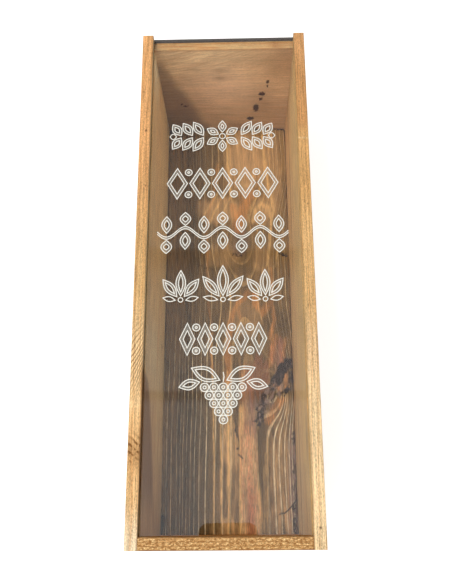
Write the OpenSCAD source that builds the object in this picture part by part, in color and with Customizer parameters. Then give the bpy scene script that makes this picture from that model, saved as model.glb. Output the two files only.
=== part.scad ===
// Gift box for one wine bottle, lying on its back: two grooved side boards, a full-height foot
// board, a lower head board, an inset back plank, and a clear lid that slides out over the head.
// Millimetres. X runs across the box, +Y towards the head end, +Z up out of the box's open front.
// The origin is the bottom centre of the whole box.

/* [Cavity] */
// Clear width between the two side boards
inner_w = 100; // [85:1:130]
// Clear length between the foot board and the head board
inner_l = 335; // [300:1:380]
// Clear depth from the back plank up to the lid
inner_d = 100; // [85:1:130]

/* [Boards] */
// Thickness of each side board
side_t = 7.5; // [6.5:0.1:12]
// Thickness of the head board, which the lid passes over
head_t = 7.5; // [6:0.1:12]
// Thickness of the foot board, which the lid stops against
foot_t = 7.5; // [6:0.1:12]
// Thickness of the back plank
back_t = 10; // [8:0.1:16]
// Rounding that handling has left on the long edges of the side and end boards
arris_r = 0.5; // [0.2:0.1:1.2]

/* [Back plank fit] */
// Gap between the back plank and each side board
back_side_gap = 0.25; // [0.05:0.05:0.8]
// Gap that shrinkage has opened between the back plank and the head board
back_head_gap = 1.1; // [0.2:0.1:2]
// Rounding that brushing has worn on the plank's two long front edges
back_worn_r = 1.2; // [0.4:0.1:3]

/* [Lid] */
// Thickness of the clear lid
lid_t = 3; // [2:0.1:5]
// Wood left above the lid groove
lip_h = 4.2; // [3:0.1:8]
// Depth of the lid groove into each side board
groove_depth = 4; // [2.5:0.1:5]
// Clearance above the lid in its groove
groove_play_z = 0.3; // [0.1:0.05:0.8]
// Clearance between each long edge of the lid and the bottom of its groove
groove_play_x = 0.4; // [0.1:0.05:0.8]
// Gap between the closed lid and the foot board
lid_foot_gap = 0.5; // [0.1:0.1:1.5]
// Clearance between the head board's top edge and the underside of the lid
lid_head_gap = 0.3; // [0.1:0.05:0.8]

/* [Thumb notch] */
// Width of the notch in the foot end of the lid
notch_w = 34; // [26:1:44]
// Depth of the notch along the lid
notch_d = 7; // [6:0.5:14]
// Radius of the notch's two inner corners
notch_r = 5.5; // [2:0.5:6]
// How far the middle of the notch lies from the middle of the lid
notch_x = 1.5; // [-5:0.5:5]

/* [Brads] */
// Overall length of a brad
brad_l = 25; // [18:1:30]
// Diameter of a brad's shank
brad_d = 1.3; // [1:0.1:1.8]
// Diameter of a brad's flat head
brad_head_d = 2.6; // [2.2:0.1:3.4]
// Thickness of a brad's flat head
brad_head_t = 0.6; // [0.4:0.1:1]
// Length of a brad's conical point
brad_point_l = 2.4; // [1:0.1:4]
// Radial clearance between a brad and the wood around it
brad_play = 0.02; // [0.01:0.01:0.05]
// Brads in each corner joint
corner_brads = 3; // [2:1:4]
// Distance from the head board's front and rear edges to its nearest brad
corner_inset = 17; // [12:1:24]
// Brads along each long edge of the back plank
back_brads = 4; // [2:1:6]
// Distance from each end board to the nearest brad in the back plank
back_inset = 28; // [15:1:50]

/* [Hidden] */
// Overshoot that makes a cut pass cleanly through a face
cut = 1;
// Segments of a brad, and of a rounded edge or corner
brad_fn = 24;
round_fn = 48;

// Overall size
box_w = inner_w + 2 * side_t;
box_l = foot_t + inner_l + head_t;

// Heights, counted from the surface that the box lies on
groove_z = back_t + inner_d;
groove_h = lid_t + groove_play_z;
box_h = groove_z + groove_h + lip_h;
head_h = groove_z - lid_head_gap;

// Places along the box
foot_y = -box_l / 2;
foot_inner_y = foot_y + foot_t;
head_y = box_l / 2;
head_inner_y = head_y - head_t;

// Back plank: it meets the foot board, and stops short of the sides and the head board
back_w = inner_w - 2 * back_side_gap;
back_l = inner_l - back_head_gap;

// Lid: it reaches from near the foot board to the head end of the side boards
lid_w = inner_w + 2 * (groove_depth - groove_play_x);
lid_foot_y = foot_inner_y + lid_foot_gap;
lid_l = head_y - lid_foot_y;

// Brad places: [distance along the box, height]
corner_zs = spread(corner_brads, corner_inset, head_h - corner_inset);
head_brad_places = [for (z = corner_zs) [head_inner_y + head_t / 2, z]];
foot_brad_places = [for (z = corner_zs) [foot_inner_y - foot_t / 2, z]];
back_brad_places = [for (y = spread(back_brads, foot_inner_y + back_inset, head_inner_y - back_inset))
    [y, back_t / 2]];

wood_honey = [0.80, 0.58, 0.33];
wood_pale = [0.70, 0.56, 0.40];
wood_gold = [0.72, 0.52, 0.26];
wood_burnt = [0.36, 0.29, 0.23];
clear_acrylic = [0.85, 0.92, 0.95, 0.30];
steel = [0.55, 0.55, 0.56];

// Even places for n things, the first and last of them at the two ends
function spread(n, first, last) = [for (i = [0 : n - 1]) first + i * (last - first) / (n - 1)];

// Flat outline of a board's section, [width, height], with every corner rounded
module eased_section(size, r) {
    translate([0, r]) square([size.x, size.y - 2 * r]);
    translate([r, 0]) square([size.x - 2 * r, size.y]);
    for (x = [r, size.x - r], y = [r, size.y - r])
        translate([x, y]) circle(r, $fn = round_fn);
}

// Stands a section (across, up) in the XZ plane and runs it along the box from y by length
module along_box(y, length) {
    translate([0, y + length, 0]) rotate([90, 0, 0]) linear_extrude(length) children();
}

// Stands a section (along, up) in the YZ plane and runs it across between the side boards
module between_sides() {
    translate([-inner_w / 2, 0, 0]) rotate([90, 0, 90]) linear_extrude(inner_w) children();
}

// One brad from the left, its head's top at the origin and its point towards +X
module brad(play = 0) {
    head_r = brad_head_d / 2 + play;
    shank_r = brad_d / 2 + play;
    top = play > 0 ? -cut : 0;
    rotate([0, 90, 0]) rotate_extrude($fn = brad_fn)
        polygon([[0, top], [head_r, top], [head_r, brad_head_t], [shank_r, brad_head_t],
            [shank_r, brad_l - brad_point_l], [0, brad_l + play]]);
}

// A row of brads driven through the left side board; with play it is the row of holes for them
module brad_row(places, play = 0) {
    for (p = places) translate([-box_w / 2, p[0], p[1]]) brad(play);
}

// The same holes from both sides of the box
module brad_holes(places) {
    for (m = [0, 1]) mirror([m, 0, 0]) brad_row(places, brad_play);
}

// Left side board: full length, with the lid groove run right through
module side_board() {
    difference() {
        along_box(foot_y, box_l) translate([-box_w / 2, 0]) difference() {
            eased_section([side_t, box_h], arris_r);
            translate([side_t - groove_depth, groove_z]) square([groove_depth + cut, groove_h]);
        }
        brad_row(concat(head_brad_places, foot_brad_places, back_brad_places), brad_play);
    }
}

module left_side() {
    color(wood_honey) side_board();
}

module right_side() {
    color(wood_honey) mirror([1, 0, 0]) side_board();
}

// Head board: low enough for the lid to pass over it
module head_board() {
    color(wood_pale) difference() {
        between_sides() translate([head_inner_y, 0]) eased_section([head_t, head_h], arris_r);
        brad_holes(head_brad_places);
    }
}

// Foot board: full height, so that it closes the grooves and stops the lid
module foot_board() {
    color(wood_gold) difference() {
        between_sides() translate([foot_y, 0]) eased_section([foot_t, box_h], arris_r);
        brad_holes(foot_brad_places);
    }
}

// Back plank: set in flush with the rear edges of the other boards, its front edges worn round
module back_plank() {
    color(wood_burnt) difference() {
        along_box(foot_inner_y, back_l) translate([-back_w / 2, 0]) {
            square([back_w, back_t - back_worn_r]);
            translate([back_worn_r, 0]) square([back_w - 2 * back_worn_r, back_t]);
            for (x = [back_worn_r, back_w - back_worn_r])
                translate([x, back_t - back_worn_r]) circle(back_worn_r, $fn = round_fn);
        }
        brad_holes(back_brad_places);
    }
}

// Thumb notch, seen from above, with its mouth on the X axis: two round corners and two squares
module notch_outline() {
    translate([-notch_w / 2, -cut]) square([notch_w, notch_d - notch_r + cut]);
    translate([notch_r - notch_w / 2, -cut]) square([notch_w - 2 * notch_r, notch_d + cut]);
    for (s = [-1, 1])
        translate([s * (notch_w / 2 - notch_r), notch_d - notch_r]) circle(notch_r, $fn = round_fn);
}

// Clear lid: it lies on the groove floors and closes the front, with the thumb notch at the foot
module sliding_lid() {
    color(clear_acrylic) translate([0, lid_foot_y, groove_z]) linear_extrude(lid_t) difference() {
        translate([-lid_w / 2, 0]) square([lid_w, lid_l]);
        translate([notch_x, 0]) notch_outline();
    }
}

module head_brads_left() {
    color(steel) brad_row(head_brad_places);
}

module head_brads_right() {
    color(steel) mirror([1, 0, 0]) brad_row(head_brad_places);
}

module foot_brads_left() {
    color(steel) brad_row(foot_brad_places);
}

module foot_brads_right() {
    color(steel) mirror([1, 0, 0]) brad_row(foot_brad_places);
}

module back_brads_left() {
    color(steel) brad_row(back_brad_places);
}

module back_brads_right() {
    color(steel) mirror([1, 0, 0]) brad_row(back_brad_places);
}

left_side();
right_side();
head_board();
foot_board();
back_plank();
sliding_lid();
head_brads_left();
head_brads_right();
foot_brads_left();
foot_brads_right();
back_brads_left();
back_brads_right();
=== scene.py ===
"""Looks of a wooden wine box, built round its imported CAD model.

The boards keep their CAD meshes and get procedural wood. The back plank is replaced by a burnt and brushed
height field, whose growth rings bend round its knots. The clear lid carries an engraved ornament.
Lengths are in millimetres, and MM turns them into Blender's metres. Lamps and floor alone are in metres.
"""

import math

import bpy
import numpy as np
from mathutils import Matrix, Vector


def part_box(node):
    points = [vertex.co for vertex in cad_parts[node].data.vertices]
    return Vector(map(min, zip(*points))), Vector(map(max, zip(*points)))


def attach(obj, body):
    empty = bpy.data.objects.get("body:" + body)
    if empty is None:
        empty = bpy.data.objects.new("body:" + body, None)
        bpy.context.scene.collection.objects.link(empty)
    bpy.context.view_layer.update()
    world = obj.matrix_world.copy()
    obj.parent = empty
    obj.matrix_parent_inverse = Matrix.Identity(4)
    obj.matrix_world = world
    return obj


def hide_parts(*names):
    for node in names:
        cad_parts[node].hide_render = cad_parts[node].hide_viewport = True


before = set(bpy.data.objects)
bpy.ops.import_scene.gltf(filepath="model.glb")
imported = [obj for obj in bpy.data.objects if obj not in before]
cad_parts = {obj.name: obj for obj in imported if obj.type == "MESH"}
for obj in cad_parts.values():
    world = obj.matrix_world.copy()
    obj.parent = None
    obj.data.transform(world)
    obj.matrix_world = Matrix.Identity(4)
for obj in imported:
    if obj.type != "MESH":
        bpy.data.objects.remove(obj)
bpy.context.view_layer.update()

MM = 0.001
# Faces of the CAD pieces at which a board's colours change, in the box's frame
BOX_TOP = 117.5
INNER_HALF = 50.0
HEAD_FACE = 167.5
HEAD_TOP = 109.7
# Where the lip over the lid's groove starts and is full
GROOVE_LIP = (112.8, 113.3)

# ---------------------------------------------------------------- colours


def srgb(r, g, b):
    """A colour written as screen values from 0 to 255, as the linear colour that Blender wants."""
    return tuple(
        c / 12.92 if c <= 0.04045 else ((c + 0.055) / 1.055) ** 2.4
        for c in (r / 255, g / 255, b / 255)
    ) + (1.0,)


WHITE = (1, 1, 1, 1)
HONEY_LATE = srgb(196, 136, 78)
HONEY_PALE = srgb(244, 210, 158)
LEFT_END = srgb(247, 222, 184)
LEFT_FOOT = srgb(234, 190, 134)
LEFT_LOW = srgb(227, 179, 121)
LEFT_FAN = srgb(240, 204, 152)
LEFT_DULL = srgb(209, 168, 113)
LEFT_MID = srgb(224, 178, 118)
LEFT_HEAD = srgb(235, 176, 116)
RIGHT_FOOT = srgb(246, 213, 164)
RIGHT_LOW = srgb(233, 195, 146)
RIGHT_MID = srgb(224, 180, 122)
RIGHT_UPPER = srgb(219, 170, 110)
RIGHT_HEAD = srgb(205, 151, 96)
RIGHT_END = srgb(218, 163, 108)
LEFT_IN_FOOT = srgb(200, 170, 124)
LEFT_IN_LOW = srgb(216, 186, 138)
LEFT_IN_MID = srgb(252, 226, 172)
LEFT_IN_HEAD = srgb(255, 222, 164)
RIGHT_IN_FOOT = srgb(250, 230, 187)
RIGHT_IN_MID = srgb(254, 216, 156)
RIGHT_IN_HEAD = srgb(248, 200, 134)
INNER_PALE = srgb(255, 238, 192)
INNER_PALER_AND_LIT = srgb(255, 250, 220)
INNER_PAINTED_LIGHT = srgb(255, 224, 162)
INNER_DARK = srgb(140, 104, 62)
VIOLET_BROWN = srgb(126, 90, 64)
FEATHER_DARK = srgb(136, 92, 48)
HEAD_LOW = srgb(206, 174, 134)
HEAD_HIGH = srgb(255, 226, 178)
HEAD_LATE = srgb(200, 156, 112)
HEAD_PAINTED_SHADOW = srgb(104, 80, 60)
HEAD_PINK = srgb(255, 216, 180)
HEAD_EDGE = srgb(240, 202, 142)
HEAD_CORNER = srgb(236, 190, 136)
HEAD_KNOT = srgb(72, 38, 14)
STAIN_BROWN = srgb(120, 80, 52)
FOOT_GOLD = srgb(214, 164, 104)
FOOT_BRIGHT = srgb(250, 212, 150)
FOOT_BROWN = srgb(156, 108, 58)
DARK_RIM_AND_LIP_SHADE = srgb(112, 74, 38)
KNOT_DARK = srgb(70, 44, 28)
SAWN_ACRYLIC = srgb(92, 86, 82)
BURNT_GREY = srgb(76, 66, 49)
BURNT_BROWN = srgb(146, 113, 62)
BURNT_TAN = srgb(220, 176, 122)
LATE_CREAM = srgb(250, 234, 198)
LATE_GOLD = srgb(252, 206, 134)
LATE_ORANGE = srgb(234, 158, 84)
RED_BROWN = srgb(220, 142, 102)
CHARRED_AND_GAP_SHADE = srgb(52, 38, 36)
CRACK = srgb(24, 18, 16)
CHIP = srgb(176, 150, 138)
ASH = srgb(150, 120, 112)
STEEL = srgb(150, 148, 145)
STEEL_STAIN = srgb(104, 92, 80)
CLEAR_TINT = (0.985, 0.99, 0.985, 1)
LID_SHADOW = (0.995, 0.963, 0.93, 1)
ENGRAVED = srgb(250, 248, 238)

# ---------------------------------------------------------------- node helper


class Val:
    """A number socket with arithmetic: each operation adds one Math node to the tree."""

    def __init__(self, graph, socket):
        self.graph = graph
        self.socket = socket

    def math(self, operation, *others):
        node = self.graph.node("ShaderNodeMath")
        node.operation = operation
        for i, value in enumerate((self, *others)):
            self.graph.feed(value, node.inputs[i])
        return Val(self.graph, node.outputs[0])

    def __add__(self, other):
        return self.math("ADD", other)

    def __sub__(self, other):
        return self.math("SUBTRACT", other)

    def __mul__(self, other):
        return self.math("MULTIPLY", other)

    def __truediv__(self, other):
        return self.math("DIVIDE", other)

    __radd__ = __add__
    __rmul__ = __mul__

    def __rsub__(self, other):
        return (self * -1) + other

    def sin(self):
        return self.math("SINE")

    def root(self):
        return self.math("SQRT")

    def fraction(self):
        return self.math("FRACT")

    def floor(self):
        return self.math("FLOOR")

    def size(self):
        return self.math("ABSOLUTE")

    def power_two(self):
        return self * self

    def bell(self):
        """exp(-x squared), where x is this value."""
        return (self.power_two() * -1).math("EXPONENT")

    def most(self, other):
        return self.math("MAXIMUM", other)

    def least(self, other):
        return self.math("MINIMUM", other)

    def smooth(self, low, high):
        """0 below low, 1 above high, eased between them. low may be above high."""
        flip = float(low > high)
        ends = dict(From_Min=min(low, high), From_Max=max(low, high), To_Min=flip, To_Max=1 - flip)
        node = self.graph.node("ShaderNodeMapRange", Value=self, **ends)
        node.interpolation_type = "SMOOTHSTEP"
        return Val(self.graph, node.outputs["Result"])


class Graph:
    """The node tree of a material or of the world, with short names for the nodes that this scene uses."""

    def __init__(self, name, world=False):
        self.owner = bpy.data.worlds.new(name) if world else bpy.data.materials.new(name)
        self.owner.use_nodes = True
        self.tree = self.owner.node_tree
        self.tree.nodes.clear()
        self.output = self.node("ShaderNodeOutputWorld" if world else "ShaderNodeOutputMaterial")

    def node(self, kind, **inputs):
        """A new node. An input's name has _ for each space in it."""
        node = self.tree.nodes.new(kind)
        for name, value in inputs.items():
            self.feed(value, node.inputs[name.replace("_", " ")])
        return node

    def feed(self, value, socket):
        """Joins a Val or an output socket to an input socket, or sets the input to a plain value."""
        if isinstance(value, Val):
            value = value.socket
        if isinstance(value, bpy.types.NodeSocket):
            self.tree.links.new(value, socket)
        else:
            socket.default_value = value

    def parts(self, vector):
        """x, y and z of a vector."""
        return [Val(self, part) for part in self.node("ShaderNodeSeparateXYZ", Vector=vector).outputs]

    def place(self):
        """x, y and z on the piece itself, in millimetres, in the box's frame."""
        coords = self.node("ShaderNodeTexCoord")
        return [part * (1 / MM) for part in self.parts(coords.outputs["Object"])]

    def attribute(self, name):
        node = self.node("ShaderNodeAttribute")
        node.attribute_name = name
        return Val(self, node.outputs["Fac"])

    def vector(self, x, y, z):
        return self.node("ShaderNodeCombineXYZ", X=x, Y=y, Z=z).outputs[0]

    def noise(self, x, y, z, detail=3.0, roughness=0.5):
        """Noise from about 0.25 to 0.75, one feature to each unit of x, y and z."""
        at = self.vector(x, y, z)
        node = self.node("ShaderNodeTexNoise", Vector=at, Scale=1.0, Detail=detail, Roughness=roughness)
        return Val(self, node.outputs["Fac"])

    def speckle(self, x, y, z, size):
        """Dots: 1 at the middle of each cell's point, falling to 0 at size, in cells."""
        node = self.node("ShaderNodeTexVoronoi", Vector=self.vector(x, y, z), Scale=1.0)
        return Val(self, node.outputs["Distance"]).smooth(size, size * 0.3)

    def mix(self, share, first, second):
        """first where share is 0, second where it is 1."""
        node = self.node("ShaderNodeMix")
        node.data_type = "RGBA"
        self.feed(share, node.inputs["Factor"])
        colours = [s for s in node.inputs if s.type == "RGBA"]
        self.feed(first, colours[0])
        self.feed(second, colours[1])
        return next(s for s in node.outputs if s.type == "RGBA")

    def shade(self, colour, factor):
        """A colour made darker or lighter by a factor that varies over the surface."""
        node = self.node("ShaderNodeVectorMath")
        node.operation = "SCALE"
        self.feed(colour[:3] if isinstance(colour, tuple) else colour, node.inputs[0])
        self.feed(factor, node.inputs["Scale"])
        return node.outputs[0]

    def bump(self, height, distance_mm, strength=1.0):
        node = self.node("ShaderNodeBump", Height=height, Distance=distance_mm * MM, Strength=strength)
        return node.outputs["Normal"]

    def principled(self, colour, roughness, normal=None, **fixed):
        node = self.node("ShaderNodeBsdfPrincipled", Base_Color=colour, Roughness=roughness, **fixed)
        if normal is not None:
            self.feed(normal, node.inputs["Normal"])
        return node.outputs[0]

    def blend(self, share, first, second):
        """The first shader where share is 0, the second where it is 1."""
        node = self.node("ShaderNodeMixShader")
        for value, socket in zip((share, first, second), node.inputs):
            self.feed(value, socket)
        return node.outputs[0]

    def ray(self, kind):
        """1 for rays of one kind, and 0 for others."""
        return Val(self, self.node("ShaderNodeLightPath").outputs[kind])

    def seen(self):
        """1 for rays from the camera, also by way of gloss or glass, and 0 for those that light things."""
        mirrored = self.ray("Is Glossy Ray").most(self.ray("Is Transmission Ray"))
        return mirrored.most(self.ray("Is Camera Ray"))

    def finish(self, shader):
        self.feed(shader, self.output.inputs["Surface"])
        return self.owner


def add_object(name, data):
    """A new object in the scene, from a mesh, a camera or a lamp."""
    thing = bpy.data.objects.new(name, data)
    bpy.context.scene.collection.objects.link(thing)
    return thing


def add_mesh(name, points, faces, materials, count):
    """A new mesh object, from points in metres. Its first count faces have the first material."""
    mesh = bpy.data.meshes.new(name)
    mesh.from_pydata(points, [], faces)
    for material in materials:
        mesh.materials.append(material)
    slots = np.arange(len(faces)) >= count
    mesh.polygons.foreach_set("material_index", slots.astype(np.int32))
    return add_object(name, mesh)


# ---------------------------------------------------------------- materials


def spots(a, b, places):
    """Soft spots on a face: each is (a, b, reach in a, reach in b, strength)."""
    total = None
    for at_a, at_b, reach_a, reach_b, strength in places:
        distance = ((a - at_a) / reach_a).power_two() + ((b - at_b) / reach_b).power_two()
        spot = (distance * -1).math("EXPONENT") * strength
        total = spot if total is None else total.most(spot)
    return total


def growth_rings(g, across, up, along, pith, pitch):
    """Ring number inside a board, from the distance to a pith line that runs beside the board."""
    drift = g.noise(across / 30, up / 30, along / 140, detail=2.0) - 0.5
    waver = g.noise(across / 7, up / 7, along / 45, detail=2.0) - 0.5
    a = across - pith[0]
    b = up - pith[1]
    return ((a * a + b * b).root() + drift * 9 + waver * 1.6) / pitch


def late_wood(ring, width=0.35):
    """The dark band that ends each ring: 0 in early wood, 1 just before the ring's edge."""
    part = ring.fraction()
    return part.smooth(1 - width, 0.97) * part.smooth(1.0, 0.975)


def fibres(g, across, up, along):
    """Fine fibres along a board, and the short rough flecks that planing leaves, each about 0.3 to 0.7."""
    fine = g.noise(across * 2.2, up * 2.2, along / 24, detail=4.0, roughness=0.65)
    rough = g.noise(across * 1.9, up * 1.9, along / 1.2, detail=4.0, roughness=0.75)
    return fine, rough


def pine(g, colour, late_share, fine, rough, extra=None, relief=0.12, contrast=1.0):
    """Finishes stained pine: fibres and flecks over its colour, pores, and a slight sheen."""
    grain = (fine.smooth(0.32, 0.68) - 0.5) * 0.54 + (rough.smooth(0.32, 0.68) - 0.5) * 0.52
    tone = 1.0 + grain * contrast
    if extra is not None:
        tone = tone * extra
    colour = g.shade(colour, tone)
    height = fine * 0.5 + rough * 0.6 + late_share * 0.3
    normal = g.bump(height, relief, 0.6)
    return g.finish(g.principled(colour, 0.42 + rough * 0.35, normal, Specular_IOR_Level=0.35))


def along_mix(g, place, stations):
    """A colour that changes evenly along a board, between (place, colour) stations."""
    colour = stations[0][1]
    for (low, _), (high, following) in zip(stations, stations[1:]):
        colour = g.mix(place.smooth(low, high), colour, following)
    return colour


def side_colour(g, out, z, stained, inner, lip):
    """Side board colours: inner face, stained rest, lip in stain and painted groove shade. out grows away
    from the cavity.
    """
    inside = out.smooth(INNER_HALF + 0.3, INNER_HALF + 0.02) * z.smooth(BOX_TOP - 0.1, BOX_TOP - 0.4)
    colour = g.mix(inside, stained, inner)
    return g.mix((lip * z.smooth(*GROOVE_LIP)).least(1.0), colour, DARK_RIM_AND_LIP_SHADE)


def make_left_side():
    """Left side board: wavy grain near the foot of its top edge, a greyer inner face, painted shade and
    light.
    """
    g = Graph("left_side_pine")
    x, y, z = g.place()
    fine, rough = fibres(g, x, z, y)
    late_share = late_wood(growth_rings(g, x, z, y, (-112, 40), 2.6))
    patch = g.noise(x / 6, z / 30, y / 22, detail=3.0)
    ruffle = g.noise(x / 2.5, z / 9, y / 4, detail=3.0)
    chipped = ((y + x * 0.8 + patch * 5 + ruffle * 1.0) / 4.6).fraction()
    chipped = chipped.smooth(0.3, 0.75) * chipped.smooth(1.0, 0.88) * ruffle.smooth(0.36, 0.5)
    sway = g.noise(x / 9, 3.0, y / 16, detail=0.0)
    fan = ((y + 10) / (x + 29) * 6.5 + sway * 1.6).fraction()
    fan = fan.smooth(0.45, 0.9) * fan.smooth(1.0, 0.9) * ((y + 64) / 21).bell()
    bruise = ((y + x * 0.8 + 163) / 7).bell() * 0.45
    waves = (chipped * ((y + 118) / 8).bell() * 1.2).most(fan * (0.5 + ruffle)).most(bruise)
    top = z.smooth(BOX_TOP - 0.3, BOX_TOP - 0.05)
    stations = [(-176, LEFT_END), (-144, LEFT_FOOT), (-124, LEFT_LOW)]
    stations += [(-60, LEFT_FAN), (-12, LEFT_DULL), (90, LEFT_HEAD)]
    stained = along_mix(g, y, stations)
    stained = g.mix(top, LEFT_MID, stained)
    stained = g.mix(late_share * 0.5, stained, HONEY_LATE)
    stained = g.mix((waves * top).least(1.0), stained, FEATHER_DARK)
    stained = g.mix(((y + 88 + ruffle * 6) / 4).bell() * top * 0.35, stained, HONEY_PALE)
    dots = spots(x, y, [(-53, 97, 0.8, 1.0, 0.9), (-52, 55, 0.6, 0.8, 0.6), (-55.5, 128, 0.5, 0.7, 0.5)])
    stained = g.mix(dots * top, stained, KNOT_DARK)
    # Inner face: darker towards the foot, partly as painted shade there.
    stations = [(-170, LEFT_IN_FOOT), (-60, LEFT_IN_LOW), (-10, LEFT_IN_MID), (160, LEFT_IN_HEAD)]
    inner = along_mix(g, y, stations)
    streak = g.noise(z / 5, y / 130, 4.0, detail=4.0, roughness=0.6)
    inner = g.mix(streak.smooth(0.42, 0.62) * 0.5, inner, INNER_PALE)
    # Paler low down, away from the foot: partly painted light.
    inner = g.mix(z.smooth(80, 30) * y.smooth(-175, -90) * 0.85, inner, INNER_PALE)
    # A paler patch of the wood near the middle, and a patch of painted light high at the head end.
    light = spots(y, z, [(-50, 62, 28, 46, 1.0), (160, 96, 18, 16, 0.9)])
    inner = g.mix(light, inner, INNER_PALER_AND_LIT)
    # Violet-brown wedge high on the inner face near the foot: the wood's tint, deepened partly as painted
    # shade.
    reach = ((y * -1) - 66).most(0.0).root() * 6.3
    wedge = (z - 110 + reach + patch * 8).smooth(-5, 10)
    violet = wedge * y.smooth(-65, -75) * y.smooth(-168, -130) * 0.8
    violet = violet.most(spots(y, z, [(-128, 84, 26, 18, 0.5), (0, 100, 36, 7, 0.3)]))
    inner = g.mix(violet, inner, VIOLET_BROWN)
    knots = spots(y, z, [(-31, 24, 1.5, 1.5, 0.9), (70, 60, 2.5, 1.2, 0.4), (-84, 64, 1.2, 0.9, 0.5)])
    inner = g.mix(knots, inner, KNOT_DARK)
    inner = g.mix(late_share * 0.25, inner, HONEY_LATE)
    # Lip over the lid's groove: stain and painted shade of the groove, darkest near y -77.
    lip = x.smooth(-51.3, -50.5) * (0.6 * patch + ((y + 77) / 12).bell() * 0.5)
    colour = side_colour(g, x * -1, z, stained, inner, lip)
    return pine(g, colour, late_share, fine, rough, 0.86 + patch * 0.28, contrast=1.15)


def make_right_side():
    """Right side board: straight grain, pale at the foot, darker past a saw line near the head, painted
    light and shade inside.
    """
    g = Graph("right_side_pine")
    x, y, z = g.place()
    fine, rough = fibres(g, x, z, y)
    late_share = late_wood(growth_rings(g, x, z, y, (118, 62), 2.4))
    patch = g.noise(x / 6, z / 30, y / 26, detail=3.0)
    top = z.smooth(BOX_TOP - 0.3, BOX_TOP - 0.05)
    stations = [(-94, RIGHT_FOOT), (-62, RIGHT_LOW), (-20, RIGHT_MID), (20, RIGHT_MID), (55, RIGHT_UPPER)]
    stations += [(90, RIGHT_UPPER), (105, RIGHT_HEAD), (135, RIGHT_HEAD), (165, RIGHT_END)]
    stained = along_mix(g, y, stations)
    stained = g.mix(top, RIGHT_MID, stained)
    stained = g.mix(late_share * 0.45, stained, HONEY_LATE)
    saw_line = ((y - 91 + x * 0.03) / 0.55).bell() * top
    stained = g.mix(saw_line * 0.6, stained, HONEY_PALE)
    dots = spots(x, y, [(54, -163, 0.7, 0.7, 0.9), (55, 40, 0.5, 0.8, 0.6), (52.5, -30, 0.5, 0.9, 0.5)])
    stained = g.mix(dots * top, stained, KNOT_DARK)
    # Darker towards the head end, partly painted shade of the corner.
    stations = [(-170, RIGHT_IN_FOOT), (-60, RIGHT_IN_MID), (60, RIGHT_IN_MID), (165, RIGHT_IN_HEAD)]
    inner = along_mix(g, y, stations)
    streak = g.noise(z / 5, y / 150, 8.0, detail=4.0, roughness=0.6)
    inner = g.mix(streak.smooth(0.40, 0.62) * 0.5, inner, INNER_PALE)
    # Painted light: the upper part of the inner face is lighter, where light from the left falls.
    inner = g.mix(z.smooth(45, 80) * 0.95, inner, INNER_PAINTED_LIGHT)
    shown = (y.smooth(-75, -95) + y.smooth(5, 30)).least(1.0)
    dark_line = ((z - 40 - y.smooth(40, 160) * 6) / 2.2).bell() * shown
    inner = g.mix(dark_line * 0.55, inner, INNER_DARK)
    smudges = [
        (-112, 98, 16, 8, 0.4),
        (-150, 78, 22, 4, 0.2),
        (-60, 18, 60, 5, 0.25),
        # This one is painted shade in the corner by the head board.
        (176, 70, 22, 50, 0.75),
    ]
    inner = g.mix(spots(y, z, smudges), inner, INNER_DARK)
    inner = g.mix(late_share * 0.25, inner, HONEY_LATE)
    # Lip over the lid's groove: stain and painted shade of the groove.
    lip = x.smooth(51.0, 50.4) * (0.1 + 0.5 * patch)
    colour = side_colour(g, x, z, stained, inner, lip)
    return pine(g, colour, late_share, fine, rough, 0.88 + patch * 0.24, contrast=1.15)


# Pin knots and stains on the head board's inner face: x, z, reach in x, reach in z, strength
HEAD_KNOTS = [
    (33, 72, 1.3, 2.4, 1.1),
    (33, 66.5, 1.2, 1.8, 1.0),
    (29, 57, 2.7, 2.6, 1.4),
    (28, 50.5, 1.9, 1.7, 1.2),
    (24.5, 38.5, 2.3, 5.0, 1.4),
    (20, 24, 3.2, 2.4, 1.3),
    (-33, 42.5, 2.8, 1.4, 0.9),
    (-36, 45, 1.2, 1.4, 0.8),
]
HEAD_STAINS = [
    (-3, 86, 5, 3, 0.3),
    (-4, 77, 5, 3, 0.4),
    (-24, 88, 7, 2, 0.25),
    (30, 50, 10, 22, 0.3),
    (-30, 45, 14, 12, 0.3),
    (20, 14, 20, 6, 0.3),
    (46, 98, 20, 22, 0.4),
]


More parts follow.
